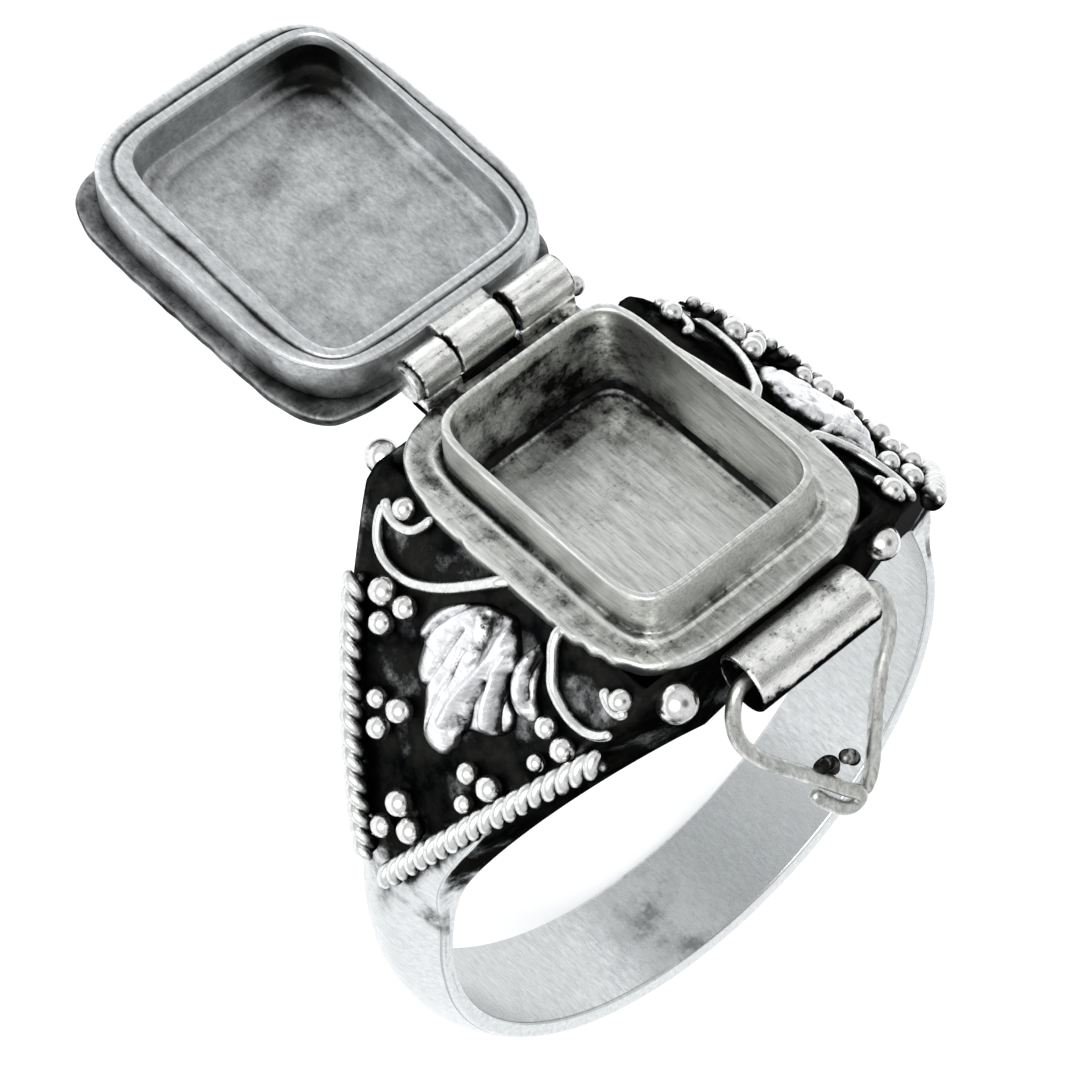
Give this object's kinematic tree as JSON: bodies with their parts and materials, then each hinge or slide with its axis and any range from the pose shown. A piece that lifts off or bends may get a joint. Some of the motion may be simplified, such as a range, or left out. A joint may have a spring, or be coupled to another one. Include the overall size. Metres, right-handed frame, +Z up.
{
  "type": "poison ring",
  "caption": "Silver locket ring with a cushion-shaped box on its head, a hinged domed lid, a wire latch and rope-bordered shoulders.",
  "frame": {"origin": "middle of the bounding box, on the floor it lies on", "axes": "+X across the shoulders, +Y towards the open lid, +Z up; the ring leans back on its shank's edge and the open lid's far edge"},
  "size_m": [0.021, 0.0326, 0.0202],
  "materials": {
    "silver": "worn polished sterling silver with dark hollows",
    "dark_silver": "oxidised twisted silver wire, rubbed bright on its high spots"
  },
  "bodies": {
    "ring": {"band": "silver", "hinge_pin": "silver", "rope_left": "dark_silver", "rope_right": "dark_silver", "leaf_left": "silver", "leaf_right": "silver", "scrolls_left": "silver", "scrolls_right": "silver", "grains_left": "silver", "grains_right": "silver"},
    "lid": {"lid": "silver"},
    "latch": {"latch": "silver"}
  },
  "joints": [
    {"name": "lid_hinge", "type": "hinge", "parent": "ring", "child": "lid", "pos_m": [0, 0.00773, 0.01014], "axis": [1, 0, 0], "range_deg": [0, 174]},
    {"name": "latch_hinge", "type": "hinge", "parent": "ring", "child": "latch", "pos_m": [0, -0.00133, 0.01928], "axis": [-1, 0, 0], "range_deg": [-14, 156]}
  ]
}
